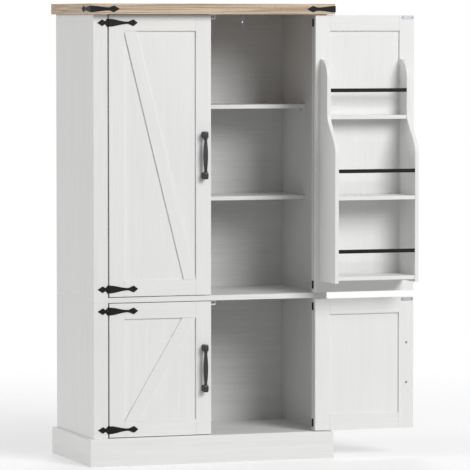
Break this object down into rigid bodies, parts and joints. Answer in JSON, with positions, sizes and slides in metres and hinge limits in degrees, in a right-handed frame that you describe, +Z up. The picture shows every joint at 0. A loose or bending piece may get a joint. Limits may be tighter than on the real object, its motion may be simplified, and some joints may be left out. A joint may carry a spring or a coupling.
{
  "type": "pantry cabinet",
  "caption": "Tall farmhouse pantry cabinet with framed doors on strap hinges, inner door racks, shelves, a plinth and an oak top.",
  "frame": {"origin": "on the floor, in the middle of the plinth's footprint, on the underside of the plinth's centre rail", "axes": "+Z up, -Y towards the user in front of the doors, +X to the user's right"},
  "size_m": [1.351, 0.6994, 1.803],
  "materials": {
    "white_laminate": "satin white laminate with a fine embossed grain",
    "back_board": "satin white laminate on thin board",
    "oak_top": "matt light oak laminate with lengthwise grain",
    "beech_dowel": "plain turned beech",
    "black_iron": "matt black powder coat",
    "zinc_steel": "bright zinc plate",
    "white_plastic": "moulded white plastic"
  },
  "bodies": {
    "carcass": {"top_panel": "oak_top", "corner_straps": "black_iron", "side_panel_left_upper": "white_laminate", "side_panel_left_lower": "white_laminate", "side_panel_right_upper": "white_laminate", "side_panel_right_lower": "white_laminate", "stile_left_upper": "white_laminate", "stile_left_lower": "white_laminate", "stile_right_upper": "white_laminate", "stile_right_lower": "white_laminate", "mid_deck": "white_laminate", "bottom_deck": "white_laminate", "back_panel_upper": "back_board", "back_panel_lower": "back_board", "shelf_upper": "white_laminate", "shelf_lower": "white_laminate", "shelf_pins": "zinc_steel", "plinth_front": "white_laminate", "plinth_sides": "white_laminate", "plinth_rails": "white_laminate", "wall_brackets": "zinc_steel", "magnet_catches": "white_plastic", "hinge_cabinet_leaves": "black_iron", "hinge_pins": "black_iron", "carcass_screws": "zinc_steel", "dowels": "beech_dowel"},
    "door_upper_left": {"door_upper_left_frame": "white_laminate", "door_upper_left_panel": "white_laminate", "door_upper_left_brace": "white_laminate", "door_upper_left_handle": "black_iron", "door_upper_left_hinge_leaves": "black_iron", "door_upper_left_strike_plate": "zinc_steel", "door_upper_left_fixings": "zinc_steel", "rack_left_sides": "white_laminate", "rack_left_shelves": "white_laminate", "rack_left_bars": "black_iron"},
    "door_upper_right": {"door_upper_right_frame": "white_laminate", "door_upper_right_panel": "white_laminate", "door_upper_right_brace": "white_laminate", "door_upper_right_handle": "black_iron", "door_upper_right_hinge_leaves": "black_iron", "door_upper_right_strike_plate": "zinc_steel", "door_upper_right_fixings": "zinc_steel", "rack_right_sides": "white_laminate", "rack_right_shelves": "white_laminate", "rack_right_bars": "black_iron"},
    "door_lower_left": {"door_lower_left_frame": "white_laminate", "door_lower_left_panel": "white_laminate", "door_lower_left_brace": "white_laminate", "door_lower_left_handle": "black_iron", "door_lower_left_hinge_leaves": "black_iron", "door_lower_left_strike_plate": "zinc_steel", "door_lower_left_fixings": "zinc_steel"},
    "door_lower_right": {"door_lower_right_frame": "white_laminate", "door_lower_right_panel": "white_laminate", "door_lower_right_brace": "white_laminate", "door_lower_right_handle": "black_iron", "door_lower_right_hinge_leaves": "black_iron", "door_lower_right_strike_plate": "zinc_steel", "door_lower_right_fixings": "zinc_steel"}
  },
  "joints": [
    {"name": "door_upper_left_hinge", "type": "hinge", "parent": "carcass", "child": "door_upper_left", "pos_m": [-0.423, -0.2452, 1.20975], "axis": [0, 0, 1], "range_deg": [-180, 0]},
    {"name": "door_upper_right_hinge", "type": "hinge", "parent": "carcass", "child": "door_upper_right", "pos_m": [0.423, -0.2452, 1.20975], "axis": [0, 0, 1], "range_deg": [-180, 0]},
    {"name": "door_lower_left_hinge", "type": "hinge", "parent": "carcass", "child": "door_lower_left", "pos_m": [-0.423, -0.2452, 0.37275], "axis": [0, 0, 1], "range_deg": [-180, 0]},
    {"name": "door_lower_right_hinge", "type": "hinge", "parent": "carcass", "child": "door_lower_right", "pos_m": [0.423, -0.2452, 0.37275], "axis": [0, 0, 1], "range_deg": [-180, 0]}
  ]
}
